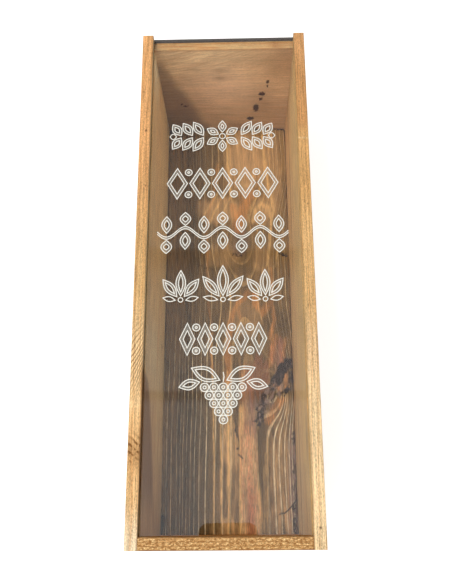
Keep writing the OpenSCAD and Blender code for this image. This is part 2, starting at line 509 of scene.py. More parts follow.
def make_head_board():
    """Head board: grain that fans out across it, pin knots in a line, a paler top edge, painted shade and
    shadow.
    """
    g = Graph("head_board_pine")
    x, y, z = g.place()
    fine, rough = fibres(g, y, z, x)
    fan = z - (x + 50) * (z.smooth(58, 112) * 0.32 - z.smooth(60, 20) * 0.12)
    waver = g.noise(x / 22, fan / 9, y / 20, detail=3.0)
    late_share = late_wood((fan + waver * 9) / 4.2, 0.6)
    streak = g.noise(x / 26, fan / 1.6, y / 9, detail=5.0, roughness=0.7)
    cloud = g.noise(x / 16, z / 12, y / 20, detail=3.0)
    inside = y.smooth(HEAD_FACE + 0.4, HEAD_FACE + 0.05) * z.smooth(HEAD_TOP - 0.1, HEAD_TOP - 0.5)
    # Darker towards the bottom, partly painted shade deep in the box.
    colour = g.mix(z.smooth(20, 100), HEAD_LOW, HEAD_HIGH)
    colour = g.mix(streak.smooth(0.3, 0.7) * 0.66, colour, HEAD_LATE)
    colour = g.mix(late_share * 0.15, colour, HEAD_LATE)
    colour = g.mix(spots(x, z, [(46, 92, 28, 28, 0.9)]) * inside, colour, HEAD_CORNER)
    # Brown line just under the top arris: painted shade under the lid.
    colour = g.mix(((z - 109) / 1.2).bell() * inside * 0.5, colour, HONEY_LATE)
    pink = spots(x, z, [(-2, 64, 30, 26, 0.75)])
    colour = g.mix(pink * inside, colour, HEAD_PINK)
    # Painted shadow of the left side board, over the lower left of the inner face.
    painted_shadow_edge = x + 47 - (104 - z) * 0.38 + waver * 6
    colour = g.mix(painted_shadow_edge.smooth(5, -5) * z.smooth(102, 88) * 0.55, colour, HEAD_PAINTED_SHADOW)
    colour = g.mix(spots(x, z, HEAD_STAINS) * inside, colour, STAIN_BROWN)
    crumbly = (g.noise(x / 1.5, z / 1.5, 5.0, detail=3.0) - 0.5) * 3.4
    knots = spots(x + crumbly, z + crumbly, HEAD_KNOTS).smooth(0.25, 0.8)
    colour = g.mix(knots * inside, colour, HEAD_KNOT)
    outer = g.mix(late_share * 0.7, LEFT_MID, HONEY_LATE)
    colour = g.mix(inside, outer, colour)
    edge = g.mix(fine.smooth(0.4, 0.6), HEAD_EDGE, HONEY_LATE)
    rough_patch = ((x - 37) / 6).bell() * rough.smooth(0.45, 0.6) * 0.6
    edge = g.mix(rough_patch, edge, FEATHER_DARK)
    colour = g.mix(z.smooth(HEAD_TOP - 0.4, HEAD_TOP - 0.1), colour, edge)
    return pine(g, colour, late_share, fine, rough, 0.80 + cloud * 0.40, contrast=0.6)


def make_foot_board():
    """Foot board: its sawn top edge is rough, in short golden and brown dashes that lie in rows."""
    g = Graph("foot_board_pine")
    x, y, z = g.place()
    fine, rough = fibres(g, x, y, z)
    late_share = late_wood(growth_rings(g, x, y, z, (20, -260), 2.2))
    dash = g.noise(x / 2.0, y * 0.95, z * 0.4, detail=4.0, roughness=0.75)
    row = (((y + 171) * (2 * math.pi / 2.3) + dash * 5).sin() + 1) / 2
    crumb = g.speckle(x / 1.7, y * 1.1, 0.0, 0.6)
    top = z.smooth(BOX_TOP - 0.4, BOX_TOP - 0.1)
    stained = g.mix(late_share * 0.6, FOOT_GOLD, HONEY_LATE)
    sawn = g.mix(dash.smooth(0.44, 0.53), FOOT_BROWN, FOOT_GOLD)
    sawn = g.mix(crumb * dash.smooth(0.44, 0.53), sawn, FOOT_BRIGHT)
    sawn = g.mix(row.smooth(0.4, 0.0) * 0.6, sawn, FOOT_BROWN)
    rim = y.smooth(-174.2, -174.9) + y.smooth(-168.1, -167.5) * 0.6 + x.size().smooth(49.4, 50.0) * 0.7
    sawn = g.mix(rim.least(1.0) * 0.7, sawn, DARK_RIM_AND_LIP_SHADE)
    colour = g.mix(top, stained, sawn)
    return pine(g, colour, dash * top * 3, fine, rough, relief=0.25)


def make_plank_back():
    """Back and edges of the plank, which the flame didn't reach: planed pine with two knots."""
    g = Graph("plank_back_pine")
    x, y, z = g.place()
    fine, rough = fibres(g, x, z, y)
    ring = growth_rings(g, x, z, y, (15, -12), 3.0)
    swell = spots(x, y, [(8, 60, 13, 22, 2.6), (-22, -70, 12, 20, 2.2)])
    late_share = late_wood(ring - swell)
    colour = g.mix(late_share * 0.75, LEFT_MID, HONEY_LATE)
    knots = spots(x, y, [(8, 60, 5, 6, 0.9), (-22, -70, 4.5, 5, 0.9)])
    colour = g.mix(knots, colour, KNOT_DARK)
    return pine(g, colour, late_share, fine, rough)


LID_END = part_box("sliding_lid")[1].y / MM


def make_acrylic():
    """Clear sheet with sawn, greyed edges and a broken arris at its head end. Shadow rays pass straight
    through it, so lamps light the inside."""
    g = Graph("clear_acrylic")
    glass = g.principled(CLEAR_TINT, 0.0, Transmission_Weight=1.0, IOR=1.49)
    clear = g.node("ShaderNodeBsdfTransparent", Color=LID_SHADOW)
    x, y, z = g.place()
    saw_marks = g.noise(x * 0.8, y * 0.8, z * 4, detail=3.0)
    edge = g.principled(g.shade(SAWN_ACRYLIC, 0.6 + saw_marks * 0.8), 0.6)
    facing = g.parts(g.node("ShaderNodeNewGeometry").outputs["True Normal"])[2]
    sideways = facing.size().smooth(0.6, 0.4)
    arris = y.smooth(LID_END - 1.9, LID_END - 1.6) * (0.75 + 0.5 * saw_marks)
    sheet = g.blend(sideways.most(arris.least(1.0)), glass, edge)
    return g.finish(g.blend(g.ray("Is Shadow Ray"), sheet, clear.outputs[0]))


def make_steel():
    """Dull steel of the brads, with stains."""
    g = Graph("brad_steel")
    x, y, z = g.place()
    stain = g.noise(x * 1.5, y * 1.5, z * 1.5, detail=4.0)
    colour = g.mix(stain.smooth(0.42, 0.62), STEEL, STEEL_STAIN)
    shader = g.principled(colour, 0.32 + stain * 0.3, g.bump(stain, 0.05, 0.4), Metallic=1.0)
    return g.finish(shader)


def make_burnt_front():
    """Burnt and brushed face of the plank, coloured from what its mesh stores at each point."""
    g = Graph("burnt_brushed_pine")
    x, y, _ = g.place()
    names = ("ring", "wide", "hue", "strength", "brown", "pale", "red", "blaze", "char", "crack", "chip")
    ring, wide, hue, strength, brown, pale, red, blaze, char, crack, chip = map(g.attribute, names)
    names = ("streaks", "flecks", "bent", "gold", "ash", "dim")
    streaks, flecks, bent, gold, ash, dim = map(g.attribute, names)
    soft = y.smooth(-30, 50)
    part = ring.fraction()
    grain = g.noise(bent * 1.5, y / 9, 3.0, detail=4.0, roughness=0.7)
    hairs = g.noise(bent * 3.0, y / 16, 13.0, detail=3.0, roughness=0.6)
    grit = g.noise(bent * 1.4, y / 1.3, 9.0, detail=3.0, roughness=0.75)
    rise = (part + (wide - 1.0)) / wide
    line = rise.smooth(0.05, 0.45) * (1 - soft) + rise.smooth(-0.1, 0.9) * soft * 0.9
    line = line * part.smooth(1.0, 0.98)
    broken = g.noise(ring.floor() * 7.3 + x / 3, y / 6, 1.0, detail=4.0, roughness=0.7).smooth(0.36, 0.58)
    line = (line * (0.45 + 0.55 * broken) * strength).least(1.0)
    ground = g.mix(brown, BURNT_GREY, BURNT_BROWN)
    ground = g.mix(pale, ground, BURNT_TAN)
    ground = g.mix(red * 0.9, ground, RED_BROWN)
    dashes = g.noise(bent * 2.4, y / 5, 5.0, detail=3.0, roughness=0.7).smooth(0.5, 0.6)
    ground = g.mix(dashes * red * 0.7, ground, BURNT_GREY)
    ground = g.mix(ash * 0.8, ground, ASH)
    late = g.mix(hue, LATE_CREAM, LATE_GOLD)
    colour = g.mix(line * (1 - 0.55 * red) * (1 - 0.5 * dim), ground, late)
    colour = g.mix(gold * (0.6 + 0.4 * broken), colour, LATE_GOLD)
    colour = g.mix(blaze * 0.62, colour, LATE_ORANGE)
    texture = grain.smooth(0.3, 0.7) * 0.66 + hairs.smooth(0.34, 0.66) * 0.36 - 0.51
    tone = 0.86 + texture * (1 - soft * 0.5) + flecks * 0.22 + streaks * 0.20
    tone = tone * (1 - dim * 0.6)
    colour = g.shade(colour, tone)
    colour = g.mix(char.smooth(0.12, 0.62), colour, CHARRED_AND_GAP_SHADE)
    colour = g.mix(chip * 0.85, colour, CHIP)
    colour = g.mix(crack, colour, CRACK)
    colour = g.mix(grit.smooth(0.60, 0.70) * (0.22 + 0.3 * line), colour, LATE_CREAM)
    height = line * 0.5 + grain * 0.5 + grit * 0.3 - char * 0.4
    normal = g.bump(height, 0.3, 0.6)
    return g.finish(g.principled(colour, 0.45 + grit * 0.35, normal, Specular_IOR_Level=0.4))


def make_engraving(name, cover):
    """White cut into the lid, which covers a share of what is under it."""
    g = Graph(name)
    x, y, _ = g.place()
    frost = g.noise(x * 2.5, y * 2.5, 0.0, detail=4.0)
    colour = g.shade(ENGRAVED, 0.92 + frost * 0.16)
    return g.finish(g.principled(colour, 0.7, Alpha=cover))


# ---------------------------------------------------------------- burnt back plank

PLANK_LOW, PLANK_HIGH = [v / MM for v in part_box("back_plank")]
PLANK_W = PLANK_HIGH.x - PLANK_LOW.x
PLANK_L = PLANK_HIGH.y - PLANK_LOW.y
PLANK_T = PLANK_HIGH.z

# On the plank's face, u runs across it from the left edge, and v along it from the foot.
# Pith line under the face, as (v, value): its u, and its depth
PITH_ACROSS = [(0, 65), (110, 64.5), (180, 65), (240, 62), (300, 66.5), (334, 65)]
PITH_DEPTH = [(0, 20), (127, 21.6), (187, 28), (235, 27), (300, 15.5), (334, 14.5)]
# Knots: where, then rise and reach (across, along) of the near and the far swell round each
KNOTS = [
    dict(at=(58, 228), near=(9, 9, 14), far=(6.5, 34, 44)),
    dict(at=(86, 104), near=(13, 10, 20), far=(2, 22, 40)),
]
# Ring edges: radius left and right of the pith, share of the ring that is late wood, warmth of that wood
RINGS = [
    (17.0, 17.0, 0.25, 0.35),
    (21.4, 21.4, 0.35, 0.75),
    (25.3, 24.7, 0.30, 0.55),
    (29.0, 27.6, 0.25, 0.35),
    (33.2, 30.5, 0.22, 0.2),
    (38.6, 33.6, 0.16, 0.1),
    (42.5, 36.5, 0.18, 0.05),
    (45.6, 38.2, 0.20, 0.0),
    (48.3, 41.0, 0.22, 0.05),
    (51.0, 44.0, 0.22, 0.05),
    (53.4, 47.0, 0.24, 0.0),
    (55.2, 50.0, 0.26, 0.0),
    (57.6, 53.0, 0.24, 0.0),
    (61.4, 56.0, 0.18, 0.0),
    (64.7, 59.0, 0.18, 0.0),
    (68.0, 62.0, 0.18, 0.0),
    (71.0, 65.0, 0.18, 0.0),
]


def lattice_noise(u, v, seed):
    """Smooth noise from -1 to 1, one feature to each unit of u and v."""
    table = np.random.default_rng(seed).uniform(-1, 1, (256, 256))
    i = np.floor(u).astype(int)
    j = np.floor(v).astype(int)
    s = u - i
    t = v - j
    s = s * s * (3 - 2 * s)
    t = t * t * (3 - 2 * t)
    near = table[i & 255, j & 255] * (1 - s) + table[i + 1 & 255, j & 255] * s
    far = table[i & 255, j + 1 & 255] * (1 - s) + table[i + 1 & 255, j + 1 & 255] * s
    return near * (1 - t) + far * t


def fractal(u, v, seed, octaves=4, keep=0.55):
    """Noise with finer and finer octaves on it, about -1 to 1."""
    total = 0
    for k in range(octaves):
        total = total + keep**k * lattice_noise(u * 2**k + 17 * k, v * 2**k + 31 * k, seed + k)
    return total * 1.5 / sum(keep**k for k in range(octaves))


def eased(at, stations):
    """Value at each place along the plank, eased between given stations."""
    places, values = np.array(stations, float).T
    i = np.clip(np.searchsorted(places, at) - 1, 0, len(places) - 2)
    t = np.clip((at - places[i]) / (places[i + 1] - places[i]), 0, 1)
    return values[i] + (values[i + 1] - values[i]) * t * t * (3 - 2 * t)


def step(value, low, high):
    """0 below low, 1 above high, eased between. low may be above high."""
    t = np.clip((value - low) / (high - low), 0, 1)
    return t * t * (3 - 2 * t)


def blob(u, v, at, reach):
    """Soft spot: 1 at its centre, falling off over reach (across, along)."""
    return np.exp(-(((u - at[0]) / reach[0]) ** 2) - ((v - at[1]) / reach[1]) ** 2)


def patch(u, v, at, reach):
    """Spot with a flat middle and a clear edge, over reach (across, along)."""
    return step(np.hypot((u - at[0]) / reach[0], (v - at[1]) / reach[1]), 1.2, 0.7)


def stroke(u, v, points, width):
    """Soft brush stroke along a few points: 1 on the line, 0 beyond its width."""
    best = np.full(u.shape, 1e9)
    for (u0, v0), (u1, v1) in zip(points, points[1:]):
        du, dv = u1 - u0, v1 - v0
        t = np.clip(((u - u0) * du + (v - v0) * dv) / (du * du + dv * dv), 0, 1)
        best = np.minimum(best, np.hypot(u - u0 - t * du, v - v0 - t * dv))
    return step(best, width, width * 0.25)


def ring_field(u, v):
    """Ring number, counted from the pith, at u across and v along the plank's face."""
    bent = u + 0.4 * np.sin(v / 37 + u / 17) + 0.12 * np.sin(v / 13.3 + u / 9 + 1.3)
    bent = bent + 0.35 * fractal(u / 9, v / 60, 11, 3)
    radius = np.hypot(bent - eased(v, PITH_ACROSS), eased(v, PITH_DEPTH))
    for knot in KNOTS:
        for rise, across, along in (knot["near"], knot["far"]):
            radius = radius - rise * blob(u, v, knot["at"], (across, along))
    number = np.arange(len(RINGS))
    left = np.interp(radius, [r[0] for r in RINGS], number)
    right = np.interp(radius, [r[1] for r in RINGS], number)
    core = (radius - RINGS[0][0]) / (RINGS[1][0] - RINGS[0][0])
    left = np.where(radius < RINGS[0][0], core, left)
    right = np.where(radius < RINGS[0][1], core, right)
    side = step(u - eased(v, PITH_ACROSS), -5, 5)
    return left * (1 - side) + right * side


# Orange streaks of unburnt late wood, each a few points and a width
FLAMES = [
    ([(58, 238), (57, 249), (54, 260)], 4.5, 0.85),
    ([(60, 238), (61, 252), (64, 262), (69, 272)], 6.0, 0.95),
    ([(62, 258), (61, 274)], 3.5, 0.5),
    ([(49.5, 112), (50, 145), (52, 160), (55, 170), (61, 178)], 3.2, 0.8),
    ([(59, 176), (66, 184)], 4.0, 0.6),
    ([(70, 182), (72, 173), (77, 167), (83, 175)], 4.0, 0.8),
    ([(80, 81), (84, 90), (90, 97)], 4.6, 0.75),
    ([(95, 146), (92, 132)], 2.2, 0.5),
    ([(87, 148), (84, 136), (80, 124)], 3.4, 0.6),
    ([(85, 172), (86.5, 162), (82, 146)], 2.6, 0.7),
    ([(57, 172), (60, 164)], 3.0, 0.5),
    ([(60, 124), (60, 108), (59, 90)], 3.0, 0.35),
    ([(94, 118), (95, 108)], 4.5, 0.7),
    ([(86, 109), (90, 105)], 3.5, 0.6),
    ([(37, 120), (36.5, 160), (33.5, 176)], 1.8, 0.6),
    ([(33, 186), (33, 252), (38, 268), (42, 300)], 1.6, 0.4),
    ([(86, 182), (84, 205)], 2.0, 0.6),
]
# Golden lines and rims, in the same form
GOLDS = [
    ([(57.6, 0), (58.0, 40), (58.2, 70)], 1.5, 0.85),
    ([(58.4, 70), (59, 84), (59.5, 92)], 2.6, 0.8),
    ([(60.5, 106), (61, 118), (62, 124)], 1.8, 0.5),
    ([(72.2, 0), (72.8, 16), (71, 34)], 2.4, 0.7),
    ([(38.5, 0), (38.6, 55), (38, 100), (36.5, 150)], 1.0, 0.8),
    ([(44, 0), (44.2, 45), (43.4, 95)], 0.9, 0.8),
    ([(49.4, 0), (49.6, 60), (48.8, 95), (49, 120)], 1.3, 1.0),
    ([(75, 0), (75.5, 48)], 0.9, 0.8),
    ([(76.2, 12), (76.9, 58)], 0.9, 0.7),
    ([(77.4, 0), (78, 40), (78.7, 70)], 1.0, 0.9),
    ([(49.6, 334), (50, 300), (51.5, 282), (52, 270)], 1.4, 0.8),
    ([(82, 207), (83.5, 224), (85.5, 246), (88, 256), (86, 270), (82, 292), (80, 326)], 1.8, 0.8),
    ([(84.5, 180), (83, 205)], 1.4, 0.6),
    ([(88, 205), (90, 220)], 1.2, 0.4),
    ([(28, 247), (33, 258), (41, 272)], 1.3, 0.45),
    ([(35, 246), (40, 258), (48, 274)], 1.3, 0.5),
    ([(43, 247), (47, 257), (52, 268)], 1.3, 0.45),
    ([(71, 247), (73, 257), (78, 262.5), (83, 260), (85, 250)], 2.6, 0.7),
]
# Greyed, reddish streaks beside the burns, in the same form
ASHES = [
    ([(97, 6), (96.5, 40), (97.5, 68)], 5.5, 0.8),
    ([(68, 76), (68, 88), (66, 98)], 6.5, 0.75),
    ([(74, 90), (80, 101), (86, 112), (96, 126)], 6.0, 0.7),
    ([(61, 222), (61, 234)], 8.0, 0.7),
    ([(88, 126), (90, 142)], 5.0, 0.35),
]
# Burnt or barky streaks, and painted shade of the gap at the head board, in the same form
CHAR_STROKES_AND_GAP_SHADE = [
    ([(96, 127), (91, 119), (84, 108.5)], 6.2, 1.0),
    ([(90, 124), (99, 124)], 4.0, 0.8),
    ([(84, 108.5), (78, 100), (73.5, 91), (73, 82)], 6.4, 0.72),
    ([(92, 103), (86, 101.5), (83, 97)], 2.6, 0.7),
    ([(98, 118), (98, 108), (93, 103)], 3.2, 0.8),
    ([(93, 140), (91, 152), (94, 166)], 6.0, 0.25),
    # Painted shade of the gap between the plank's head end and the head board
    ([(0, 334), (100, 334)], 1.5, 0.9),
    ([(0, 333), (8, 334)], 3.0, 0.9),
    ([(77, 120), (73, 132), (76, 150)], 4.0, 0.25),
    ([(55, 219), (60, 216.5), (66, 219)], 1.6, 0.5),
    ([(20, 214), (30, 207), (42, 205)], 1.2, 0.4),
    ([(92, 219), (98, 216)], 2.0, 0.6),
    ([(53, 86), (55.8, 78), (56.6, 70), (57, 62)], 1.8, 0.5),
    ([(44, 84), (47, 80), (49, 84)], 1.4, 0.4),
    ([(98.5, 0), (98, 40), (98.5, 72)], 3.5, 0.5),
    ([(0.5, 0), (1.5, 12)], 3.5, 0.8),
]
# The barky streak, in the same form
BARK = ([(74, 86), (79, 99), (84, 105), (92, 116)], 6.5, 1.0)
# Narrow cracks, as points
CRACKS = [
    [(86, 14), (90, 14.5), (95, 19), (99, 24)],
    [(57, 56.5), (60, 54)],
    [(91, 218), (95, 216)],
]
# Pale patches where the flame hardly touched the wood: at, reach, strength
PALES = [
    ((50.5, 62), (6.5, 19), 0.85),
    ((49, 30), (8, 30), 0.28),
    ((52, 0), (15, 9), 0.7),
    ((88, 38), (9, 44), 0.3),
    ((86, 8), (13, 16), 0.3),
    ((62, 134), (7, 9), 0.12),
    ((62, 162), (14, 16), 0.38),
    ((89, 115), (8, 6), 0.4),
    ((42, 257), (18, 13), 0.6),
    ((77, 254), (8, 13), 0.55),
    ((64, 300), (16, 32), 0.78),
    ((87, 292), (8, 42), 0.55),
    ((46, 216), (14, 12), 0.32),
    ((78, 212), (8, 12), 0.4),
    ((95, 92), (4, 12), 0.4),
]
# Where growth rings hardly show: at, reach, share that is lost
FAINT_RINGS = [
    ((68, 112), (13, 26), 0.97),
    ((76, 148), (15, 24), 0.95),
    ((60, 226), (18, 32), 0.9),
    ((44, 256), (15, 16), 0.7),
    ((62, 300), (20, 32), 0.7),
    ((48, 60), (6, 50), 0.5),
    ((90, 116), (13, 18), 0.97),
    ((42, 40), (4.5, 55), 0.5),
]
# Places that are darker, with their grain still to be seen, in the same form as the flames
DIMS = [
    ([(76.5, 0), (77, 30), (75.5, 60), (74, 80)], 7.5, 0.8),
    ([(88, 140), (90, 168)], 14.0, 0.15),
    ([(56, 92), (55.5, 122)], 4.0, 0.35),
    ([(38, 98), (44, 130), (44, 172)], 13.0, 0.25),
    ([(91, 166), (93, 150)], 8.0, 0.5),
    ([(73, 128), (73, 100)], 10.0, 0.55),
    ([(98, 126), (98, 98)], 5.0, 0.6),
    ([(61, 233), (61.5, 222)], 9.5, 0.75),
    ([(70, 216), (80, 212)], 8.0, 0.3),
    ([(40, 196), (52, 204), (66, 204)], 9.0, 0.2),
    ([(63, 96), (66, 122)], 8.0, 0.45),
    ([(64, 78), (68, 84)], 6.0, 0.4),
]
# Middle, half width and strength of the reddish band up the plank, at each place along it
BAND_MIDDLE = [(0, 65), (78, 64.3), (128, 64.2)]
BAND_HALF = [(0, 7.2), (74, 6.8), (92, 4.6), (118, 4.2), (128, 2.2)]
BAND_STRENGTH = [(0, 0.7), (20, 0.9), (74, 0.95), (86, 0.55), (98, 0.6), (110, 0.9), (128, 0.8)]


def add_strokes(u, v, strokes):
    """The strongest of several strokes, each (points, width, strength)."""
    total = np.zeros(u.shape)
    for points, width, strength in strokes:
        total = np.maximum(total, strength * stroke(u, v, points, width))
    return total


def fibre_place(u, v):
    """Across-grain coordinate whose lines run along the plank and swing round its knots."""
    across = u + 0.6 * np.sin(v / 26 + u / 21)
    for knot in KNOTS:
        across = across - 0.55 * (u - knot["at"][0]) * blob(u, v, knot["at"], (13, 24))
    return across


def red_band(wu, wv, v, streaks, flecks, tongues):
    """Reddish band up the plank, and the two reddish patches beside it."""
    from_middle = abs(wu - 0.6 * flecks - eased(v, BAND_MIDDLE))
    band = step(from_middle, eased(v, BAND_HALF) + 0.7, eased(v, BAND_HALF) - 0.7)
    band = band * step(v + 4 * tongues, 130, 122) * eased(v, BAND_STRENGTH) * (0.9 + 0.4 * streaks)
    band = np.maximum(band, 0.55 * patch(wu, wv, (89, 135), (8, 12)) * (0.7 + 1.2 * streaks))
    return np.maximum(band, 0.45 * patch(wu, wv, (73, 114), (8, 18)))


def burns(u, v, wu, wv, streaks):
    """Charred streaks with crumbly edges, and painted shade of the gap at the head end."""
    rough = fractal(u / 2.6, v / 3.4, 81, 5, 0.75)
    char = add_strokes(wu + 1.8 * rough, v + 2.6 * rough, CHAR_STROKES_AND_GAP_SHADE)
    char = np.maximum(char, 0.34 * blob(wu, wv, (90, 112), (9, 14)))
    return char * (0.75 + 0.6 * rough + 0.3 * streaks)


def chips(u, v, wu, wv):
    """Pale crumbs in the barky streak, and along the right edge near the foot."""
    bark = add_strokes(wu, wv, [BARK]) * step(v, 128, 92)
    chip = step(fractal(u / 1.7, v / 2.4, 91, 3, 0.7), 0.02, 0.34) * bark
    white = step(fractal(u / 0.7, v / 2.2, 95, 2), 0.45, 0.7) * step(u, 90, 97) * step(v, 75, 60)
    return np.maximum(chip, 0.8 * white)


def plank_face(u, v):
    """What colours and carves the plank's face, by u and v. All but ring and bent are 0 to 1."""
    ring = ring_field(u, v)
    fibre = fibre_place(u, v)
    streaks = fractal(fibre / 2.2, v / 45, 21)
    flecks = fractal(fibre / 0.9, v / 9, 31, 3)
    tongues = fractal(fibre / 1.6, v / 120, 41, 3)
    wu = u + 1.3 * fractal(u / 6, v / 11, 51) + 0.4 * flecks
    wv = v + 3.0 * fractal(u / 7, v / 13, 61) + (9 - 7 * step(v, 90, 170)) * tongues

    following = np.clip(np.ceil(ring).astype(int), 0, len(RINGS) - 1)
    wide = np.array([r[2] for r in RINGS])[following]
    hue = np.array([r[3] for r in RINGS])[following]
    in_head = step(v, 90, 170)
    on_right = step(u, 74, 80)
    right_foot = on_right * step(v, 120, 85)
    wide = wide * (1 + 0.5 * right_foot)
    hue = np.clip(hue + 0.5 * in_head * step(u, 22, 45) - 0.25 * right_foot, 0, 1)

    strength = 1.0 - 0.5 * in_head * step(u, 40, 20) - 0.3 * in_head + 0.8 * right_foot
    strength = strength * (0.85 + 0.25 * hue + 0.6 * fractal(ring * 3.1, v / 25, 71, 3))
    shown = np.ones(u.shape)
    for at, reach, drop in FAINT_RINGS:
        shown = shown * (1 - drop * blob(u, v, at, reach))
    strength = strength * shown
    dim = add_strokes(wu, wv, DIMS) * (0.85 + 0.4 * streaks)
    pale = sum(s * patch(wu, wv, at, reach) for at, reach, s in PALES)
    brown = 0.2 + 0.22 * step(v, 60, 230) + 0.27 * step(u, 20, 48) + 0.2 * streaks
    brown = brown + 0.3 * step(u, 40, 55) * step(v, 180, 280) + 0.4 * blob(u, v, (76, 58), (5, 30))
    calm = 1 - 0.6 * in_head
    pale = pale + 0.16 * step(u, 24, 2) + 0.10 * right_foot
    pale = pale * (0.9 + 0.5 * calm * streaks + 0.3 * calm * tongues) + 0.10 * calm * flecks
    band = red_band(wu, wv, v, streaks, flecks, tongues)
    blaze = add_strokes(wu, v + 1.2 * flecks, FLAMES) * (0.85 + 0.5 * calm * flecks + 0.3 * streaks)
    gold = add_strokes(u + 0.25 * flecks, v + 2 * flecks, GOLDS) * (0.85 + 0.4 * streaks)
    ash = add_strokes(wu, wv, ASHES) * (0.9 + 0.5 * flecks)
    char = burns(u, v, wu, wv, streaks)
    crack = add_strokes(u + 0.3 * flecks, v, [(points, 0.7, 1.0) for points in CRACKS])
    chip = chips(u, v, wu, wv)
    face = dict(ring=ring, wide=wide, hue=hue, strength=strength, brown=brown, pale=pale)
    face.update(red=band, gold=gold, ash=ash, dim=dim, blaze=blaze, char=char, crack=crack, chip=chip)
    face.update(streaks=0.5 + 0.5 * streaks, flecks=0.5 + 0.5 * flecks, bent=fibre, shown=shown)
    for name in face:
        if name not in ("ring", "bent"):
            face[name] = np.clip(face[name], 0, 1)
    return face


PLANK_COLUMNS = 250
PLANK_ROWS = 390
BRUSHED_DEPTH = 0.45


def make_plank():
    """Closed board whose face is a fine height field, in which late wood stands proud of early wood."""
    across = np.linspace(0, PLANK_W, PLANK_COLUMNS + 1)
    u, v = np.meshgrid(across, np.linspace(0, PLANK_L, PLANK_ROWS + 1))
    face = plank_face(u, v)
    part = face["ring"] - np.floor(face["ring"])
    late = np.clip((part - 1 + face["wide"]) / (face["wide"] * 0.7), 0, 1)
    ripple = np.sin(u * 5.1 + 2 * np.sin(v / 31)) * np.sin(u * 2.3 + v / 40)
    height = -BRUSHED_DEPTH * (1 - late) * face["shown"] + 0.08 * ripple
    pits = np.sin(u * 1.7 + np.sin(v * 0.9)) * np.sin(v * 0.8 + np.sin(u * 1.3)) + 1
    height = height - face["char"] * (0.4 + 0.4 * pits) - 0.5 * face["crack"] + 0.3 * face["chip"]
    for edge in (u, PLANK_W - u):
        worn = 1.3 + 0.5 * np.sin(v / 17) + 0.3 * np.sin(v / 5.3 + 1)
        height = height - np.clip(1 - edge / worn, 0, 1) ** 2 * worn
    top = PLANK_T + np.minimum(height, 0)
    rows, columns = u.shape
    points = np.stack([u + PLANK_LOW.x, v + PLANK_LOW.y, top], -1).reshape(-1, 3)
    index = np.arange(rows * columns).reshape(rows, columns)
    quads = np.stack([index[:-1, :-1], index[:-1, 1:], index[1:, 1:], index[1:, :-1]], -1)
    quads = quads.reshape(-1, 4)
    rim = np.concatenate([index[0, :-1], index[:-1, -1], index[-1, :0:-1], index[:0:-1, 0]])
    under = points[rim] * [1, 1, 0]
    below = np.arange(len(rim)) + len(points)
    around = np.roll(np.arange(len(rim)), -1)
    walls = np.stack([rim[around], rim, below, below[around]], -1)
    faces = quads.tolist() + walls.tolist() + [below[::-1].tolist()]
    points = (np.concatenate([points, under]) * MM).tolist()
    materials = [make_burnt_front(), MATERIALS["plank_back"]]
    plank = add_mesh("burnt_plank", points, faces, materials, len(quads))
    mesh = plank.data
    for name, values in face.items():
        attribute = mesh.attributes.new(name, "FLOAT", "POINT")
        flat = values.reshape(-1)
        attribute.data.foreach_set("value", np.concatenate([flat, flat[rim]]).astype(np.float32))
    mesh.polygons.foreach_set("use_smooth", np.arange(len(faces)) < len(quads))
    mesh.update()
    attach(plank, "box")
    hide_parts("back_plank")


# ---------------------------------------------------------------- ornament on the lid

# Bands of leaves, lozenges and grapes in thin double outlines, mirrored about the lid's middle.
# Each line is (points, closed, inside): inside is True where it lies within the line before it, with
# frosting between the two.
LID_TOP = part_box("sliding_lid")[1].z / MM
LINE_W = 0.58
LINE_GAP = 1.7
INK_T = 0.06
FROST_COVER = 0.17
ORNAMENT_X = -1.0


def turned(points, at, angle):
    """Points turned by an angle in degrees and moved to a place."""
    c = math.cos(math.radians(angle))
    s = math.sin(math.radians(angle))
    return [(at[0] + c * x - s * y, at[1] + s * x + c * y) for x, y in points]


def leaf_outline(length, width, steps=14):
    """Pointed leaf that starts at 0, 0 and grows along +Y."""
    right = [(width / 2 * math.sin(math.pi * i / steps), length * i / steps) for i in range(steps + 1)]
    left = [(-x, y) for x, y in right[-2:0:-1]]
    return right + left


def leaf(at, length, width, angle):
    """Outline of a leaf, and a second one inside it where there is room."""
    tip = LINE_GAP * 1.5
    lines = [(turned(leaf_outline(length, width), at, angle), True, False)]
    if width - 2 * LINE_GAP > 1.2 and length - 2 * tip > 3.2:
        inner = [(x, y + tip) for x, y in leaf_outline(length - 2 * tip, width - 2 * LINE_GAP)]
        lines.append((turned(inner, at, angle), True, True))
    return lines


def lozenge(at, width, height):
    """Two lozenges, one inside the other."""
    lines = []
    for share in (1.0, 1 - 2.6 * LINE_GAP / width):
        w = width / 2 * share
        h = height / 2 * share
        corners = [(at[0] + w, at[1]), (at[0], at[1] + h), (at[0] - w, at[1]), (at[0], at[1] - h)]
        lines.append((corners, True, share < 1))
    return lines


def disc(at, radius, steps=24):
    """A round outline."""
    turn = [2 * math.pi * i / steps for i in range(steps)]
    return [([(at[0] + radius * math.cos(a), at[1] + radius * math.sin(a)) for a in turn], True, False)]


def berry(at, radius):
    """A round outline with a small one at its middle."""
    return disc(at, radius) + [(points, True, True) for points, _, _ in disc(at, radius - LINE_GAP)]


def mirrored(lines):
    """Lines, and the same lines on the other side of the lid's middle."""
    return lines + [([(-x, y) for x, y in points], closed, inside) for points, closed, inside in lines]


